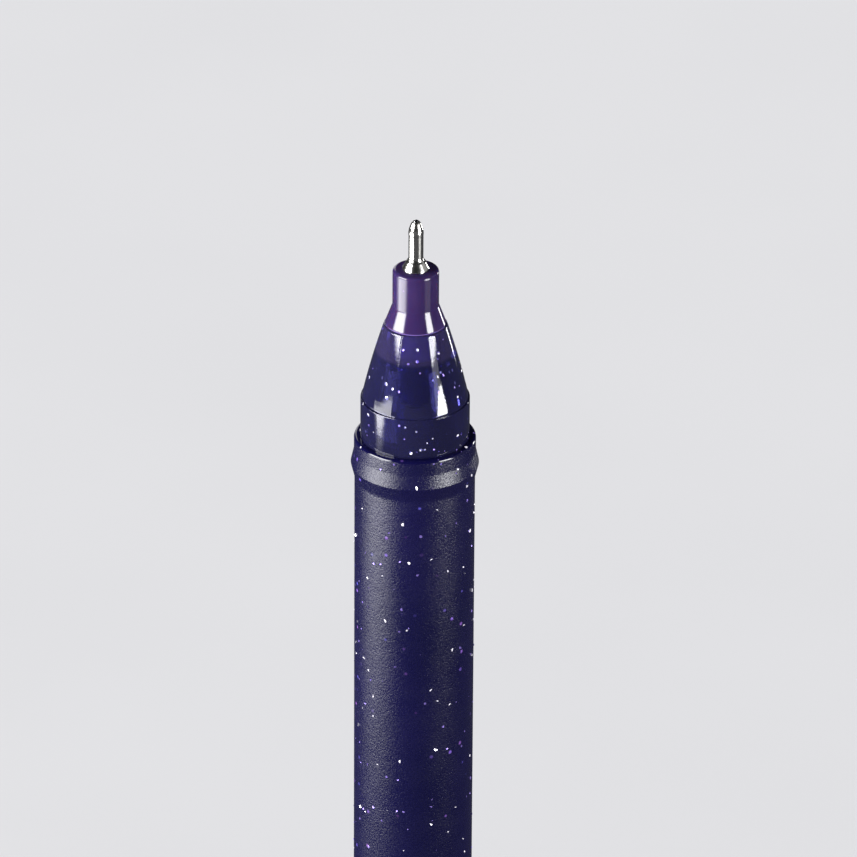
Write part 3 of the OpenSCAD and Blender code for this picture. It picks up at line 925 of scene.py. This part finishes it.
def scatter(name, skins, film, tree, **inputs):
    """Runs the flake tree over a skin and keeps the result as a plain mesh."""
    holder = finished(name + "_skin", skins, film)
    modifier = holder.modifiers.new("flakes", "NODES")
    modifier.node_group = tree
    values = {key.replace("_", " ").capitalize(): value for key, value in inputs.items()}
    values["Film"] = film
    for item in tree.interface.items_tree:
        if item.in_out == "INPUT" and item.name in values:
            modifier[item.identifier] = values[item.name]
    depsgraph = bpy.context.evaluated_depsgraph_get()
    mesh = bpy.data.meshes.new_from_object(holder.evaluated_get(depsgraph))
    mesh.name = name
    for slot in reversed(range(len(mesh.materials))):
        if mesh.materials[slot] is None:
            mesh.materials.pop(index=slot)
    piece = bpy.data.objects.new(name, mesh)
    bpy.context.scene.collection.objects.link(piece)
    bpy.data.objects.remove(holder)
    return piece


# Operators, one for each group of pieces

class BuildStage(bpy.types.Operator):
    """Floor, soft light and camera"""
    bl_idname = "gel_pen.stage"
    bl_label = "Stage, light and camera"

    def execute(self, context):
        studio = context.scene.pen_studio
        floor = self.floor()
        self.lamps(floor)
        self.world(context.scene)
        rim = Vector((0, 0, high("barrel").z))
        tilt = studio.elevation
        up = Vector((0, math.sin(tilt), math.cos(tilt)))
        aim = rim + Vector((studio.aim_side, 0, 0)) + up * studio.aim_up
        camera = bpy.data.cameras.new("camera")
        camera.lens = studio.lens
        camera.sensor_width = 36
        camera.clip_start = 0.01
        camera.clip_end = 50
        view = bpy.data.objects.new("camera", camera)
        view.location = aim + studio.distance * Vector((0, -math.cos(tilt), math.sin(tilt)))
        turn = Matrix.Rotation(math.pi / 2 - tilt, 4, "X") @ Matrix.Rotation(studio.roll, 4, "Z")
        view.rotation_euler = turn.to_euler()
        context.scene.collection.objects.link(view)
        context.scene.camera = view
        context.scene.view_settings.view_transform = "Standard"
        return {"FINISHED"}

    def floor(self):
        """A wide pale floor with a faint, uneven tone, darker in the pen's reflections than to the camera."""
        pale = Finish({}, "Pale floor", (0.74, 0.74, 0.76))
        pale.mix(pale.cloud(6.0), (0.73, 0.73, 0.752))
        pale.rough(0.75, (pale.cloud(20.0), 0.1))
        seen = add(pale.tree, "ShaderNodeLightPath").outputs["Is Camera Ray"]
        pale.mix(pale.math("SUBTRACT", 1.0, seen), (0.035, 0.035, 0.04))
        shape = bmesh.new()
        bmesh.ops.create_grid(shape, x_segments=2, y_segments=2, size=6)
        floor = finished("floor", [shape], pale.done())
        return floor

    def lamps(self, floor):
        """Softboxes round the pen. Those that stand close don't light the floor."""
        unlit = bpy.data.collections.new("floor without the near lamps")
        unlit.objects.link(floor)
        unlit.collection_objects[0].light_linking.link_state = "EXCLUDE"
        # name, azimuth from the camera's side, distance, bottom and top height, width in degrees, radiance,
        # and its left and right edge as (share of the height, share of the width) points
        low_left = (((0.06, 0.27), (0.107, 0.09), (0.25, 0.12), (0.7, 0.1), (1, 0.72)),
                    ((0.06, 0.28), (0.107, 0.51), (0.25, 1), (0.85, 0.85), (1, 0.8)))
        low_right = (((0, 0), (0.45, 0), (1, 0.35)), ((0, 1), (0.45, 1), (1, 0.75)))
        boxes = (("key_high", -68, 0.26, 0.156, 0.320, 50, 24, None),
                 ("key_low", -70, 0.13, 0.070, 0.1425, 66, 9.5, low_left),
                 ("right_high", 57, 0.30, 0.157, 0.270, 27, 22, None),
                 ("right_mid", 54, 0.30, 0.120, 0.168, 20, 2.2, None),
                 ("right_low", 57, 0.13, 0.120, 0.1432, 30, 30, low_right),
                 ("right_dim", 62, 0.13, 0.082, 0.102, 36, 0.8, None),
                 ("left_glow", -80, 0.25, 0.010, 0.080, 60, 3.0, None),
                 ("right_glow", 80, 0.32, 0.165, 0.420, 80, 0.3, None),
                 ("right_rim", 134, 0.30, 0.070, 0.165, 7, 16, None),
                 ("back_softbox", 196, 0.45, 0.060, 0.420, 20, 1.6, None))
        for name, azimuth, distance, bottom, top, spread, radiance, edges in boxes:
            turn = math.radians(azimuth - 90)
            spot = Vector((distance * math.cos(turn), distance * math.sin(turn), (bottom + top) / 2))
            width = 2 * distance * math.tan(math.radians(spread) / 2)
            lamp = self.area(name, spot, Vector((0, 0, spot.z)), width, top - bottom,
                             radiance * math.pi * width * (top - bottom), edges)
            lamp.light_linking.receiver_collection = unlit
        floor_only = bpy.data.collections.new("floor under the wide light")
        floor_only.objects.link(floor)
        sky = bpy.data.lights.new("floor_wash", "SUN")
        sky.energy = 3.7
        sky.angle = math.radians(70)
        wash = bpy.data.objects.new("floor_wash", sky)
        wash.rotation_euler = (math.radians(25), math.radians(-15), 0)
        wash.light_linking.receiver_collection = floor_only
        bpy.context.scene.collection.objects.link(wash)

    def area(self, name, spot, aim, width, tall, watts, edges=None):
        """A softbox with soft edges, its left and right edge cut to a shape if asked."""
        light = bpy.data.lights.new(name, "AREA")
        light.shape = "RECTANGLE"
        light.size = width
        light.size_y = tall
        light.energy = watts
        light.use_nodes = True
        tree = light.node_tree
        place = add(tree, "ShaderNodeNewGeometry").outputs["Parametric"]
        across = add(tree, "ShaderNodeSeparateXYZ", {0: place}).outputs
        inward = [calc(tree, "PINGPONG", across[axis], 0.5) for axis in ("X", "Y")]
        if edges:
            left, right = (self.edge_curve(tree, across["Y"], points) for points in edges)
            inward[0] = calc(tree, "MINIMUM", calc(tree, "SUBTRACT", across["X"], left),
                             calc(tree, "SUBTRACT", right, across["X"]))
        soft = calc(tree, "MULTIPLY", ramp(tree, inward[0], 0.0, 0.12), ramp(tree, inward[1], 0.0, 0.10))
        tree.links.new(soft, tree.nodes["Emission"].inputs["Strength"])
        lamp = bpy.data.objects.new(name, light)
        lamp.location = spot
        lamp.rotation_euler = (aim - spot).to_track_quat("-Z", "Y").to_euler()
        lamp.visible_camera = False
        bpy.context.scene.collection.objects.link(lamp)
        return lamp

    def edge_curve(self, tree, up, points):
        """Where a lamp's edge lies, as a share of its width, at each share of its height."""
        made = add(tree, "ShaderNodeFloatCurve", {"Value": up})
        curve = made.mapping.curves[0]
        while len(curve.points) < len(points):
            curve.points.new(0.5, 0.5)
        for point, place in zip(curve.points, points):
            point.location = place
            point.handle_type = "VECTOR"
        made.mapping.update()
        return made.outputs[0]

    def world(self, scene):
        """Pale to look at, dimmer as a light."""
        world = bpy.data.worlds.new("studio")
        world.use_nodes = True
        tree = world.node_tree
        background = tree.nodes["Background"]
        background.inputs["Color"].default_value = (0.90, 0.92, 1.0, 1)
        seen = add(tree, "ShaderNodeLightPath").outputs["Is Camera Ray"]
        strength = add(tree, "ShaderNodeMapRange", {"Value": seen, "To Min": 0.015, "To Max": 0.74})
        tree.links.new(strength.outputs[0], background.inputs["Strength"])
        scene.world = world


class BuildBody(bpy.types.Operator):
    """Barrel, clear front section and tail plug"""
    bl_idname = "gel_pen.body"
    bl_label = "Barrel and front section"

    def execute(self, context):
        sizes = context.scene.pen_sizes
        turn = round_turn(192, SEAMS)
        turned_piece("barrel_tube", barrel_outline(sizes), 192, "satin", "barrel", "satin_navy", "barrel")
        rim_z = high("barrel").z
        cone_z = high("front_section").z

        def inner_r(z):
            """A radius between the cone's skin and its inside; below the rim nothing is lifted."""
            return 2.4 * MM + max(0, cone_z - z) * 0.2 if z > rim_z else 1

        shape = turned(cone_outline(sizes), turn, lift=seam_ridge(inner_r, 0.004 * MM))
        cone = finished("front_cone", [shape], finish_of("clear"))
        settle(cone, "barrel", "clear_navy", "front_section")
        turned_piece("tail_end_plug", plug_outline(sizes), 128, "cap", "barrel", "clear_navy", "tail_plug")
        return {"FINISHED"}


class BuildRefill(bpy.types.Operator):
    """Tip holder, steel tip, ink tube, ink and follower"""
    bl_idname = "gel_pen.refill"
    bl_label = "Refill"

    def execute(self, context):
        sizes = context.scene.pen_sizes
        pieces = (("purple_holder", holder_outline, "purple", "clear_purple", "tip_holder"),
                  ("needle_tip", tip_outline, "steel", "tip_steel", "tip_body"),
                  ("refill_tube", tube_outline, "tube", "tube_plastic", "ink_tube"),
                  ("ink_column", ink_outline, "ink", "gel", "gel_ink"),
                  ("grease_follower", follower_outline, "grease", "grease", "ink_follower"))
        for name, outline, material, slot, node in pieces:
            turned_piece(name, outline(sizes), 128, material, "refill", slot, node)
        kept = (("tip_spring", "wire"), ("ball", "carbide"), ("follower_float", "liner"))
        for node, material in kept:
            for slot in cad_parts[node].material_slots:
                slot.material = finish_of(material)
        return {"FINISHED"}


class BuildCap(bpy.types.Operator):
    """Cap shell with its ribs and bridge, crown, liner and seal"""
    bl_idname = "gel_pen.cap"
    bl_label = "Cap"

    def execute(self, context):
        sizes = context.scene.pen_sizes
        ribs = [cap_rib(i, 6) for i in range(6)]
        shell = finished("cap_tube", [turned(shell_outline(), round_turn(160)), clip_bridge(sizes)] + ribs,
                         finish_of("cap"))
        settle(shell, "cap", "clear_navy", "cap_shell")
        turned_piece("crown_plug", crown_outline(), 128, "purple", "cap", "clear_purple", "cap_crown")
        turned_piece("liner_cup", liner_outline(), 96, "liner", "cap", "liner_plastic", "cap_liner")
        turned_piece("seal_pellet", seal_outline(), 96, "rubber", "cap", "seal_rubber", "tip_seal")
        return {"FINISHED"}


class BuildClip(bpy.types.Operator):
    """Pocket clip"""
    bl_idname = "gel_pen.clip"
    bl_label = "Clip"

    def execute(self, context):
        sizes = context.scene.pen_sizes
        clip = finished("pocket_clip", [clip_arm(sizes), clip_knuckle(sizes)], finish_of("cap"))
        settle(clip, "clip", "clear_navy", "cap_clip")
        return {"FINISHED"}


class BuildGlitter(bpy.types.Operator):
    """Glitter flakes in the resin of the barrel, the front section and the cap shell"""
    bl_idname = "gel_pen.glitter"
    bl_label = "Glitter"

    def execute(self, context):
        sizes = context.scene.pen_sizes
        glitter = context.scene.pen_glitter
        tree = flake_scatter()
        turn = round_turn(64)
        skins = {"barrel": barrel_skin(sizes)[2:], "cone": cone_skin(sizes), "cap": shell_skin()[2:]}
        # skin, body, slot, share of the flakes, shallowest and deepest place under the skin in mm, tilt
        beds = (("barrel", "barrel", "satin_navy", 1.0, (-0.02, 0.01), 0.5),
                ("cone", "barrel", "clear_navy", 1.3, (-0.012, 0.02), 0.3),
                ("cap", "cap", "clear_navy", 1.0, (-0.002, 0.008), 0.12))
        for index, (skin, body, slot, share, depths, tilt) in enumerate(beds):
            for kind, density, width in (("bright", glitter.bright, glitter.flake_d),
                                         ("dim", glitter.dim, glitter.flake_d * 0.8)):
                seed = glitter.seed + index * 100 + (50 if kind == "dim" else 0)
                piece = scatter(f"{skin}_{kind}_flakes", [turned(skins[skin], turn, closed=False)],
                                finish_of(kind + "_flake"), tree, per_square_metre=density * share,
                                flake_width=width, flake_thickness=glitter.flake_t, tilt=tilt,
                                shallowest=depths[0] * MM, deepest=depths[1] * MM, smallest=0.35, seed=seed)
                settle(piece, body, slot)
        return {"FINISHED"}


class PenPanel(bpy.types.Panel):
    """Lists the steps that build the pen"""
    bl_idname = "VIEW3D_PT_gel_pen"
    bl_label = "Gel pen"
    bl_space_type = "VIEW_3D"
    bl_region_type = "UI"
    bl_category = "Gel Pen"

    def draw(self, context):
        for operator in OPERATORS:
            self.layout.operator(operator.bl_idname)
        for group in ("pen_sizes", "pen_colours", "pen_glitter", "pen_studio"):
            settings = getattr(context.scene, group)
            box = self.layout.box()
            for key in settings.__annotations__:
                box.prop(settings, key)


OPERATORS = (BuildStage, BuildBody, BuildRefill, BuildCap, BuildClip, BuildGlitter)
GROUPS = {"pen_sizes": PenSizes, "pen_colours": PenColours, "pen_glitter": PenGlitter, "pen_studio": PenStudio}


def register():
    for cls in (*GROUPS.values(), *OPERATORS, PenPanel):
        bpy.utils.register_class(cls)
    for name, cls in GROUPS.items():
        setattr(bpy.types.Scene, name, PointerProperty(type=cls))


def unregister():
    for name in GROUPS:
        delattr(bpy.types.Scene, name)
    for cls in reversed((*GROUPS.values(), *OPERATORS, PenPanel)):
        bpy.utils.unregister_class(cls)


def main():
    register()
    bpy.ops.gel_pen.stage()
    bpy.ops.gel_pen.body()
    bpy.ops.gel_pen.refill()
    bpy.ops.gel_pen.cap()
    bpy.ops.gel_pen.clip()
    bpy.ops.gel_pen.glitter()


if __name__ == "__main__":
    main()
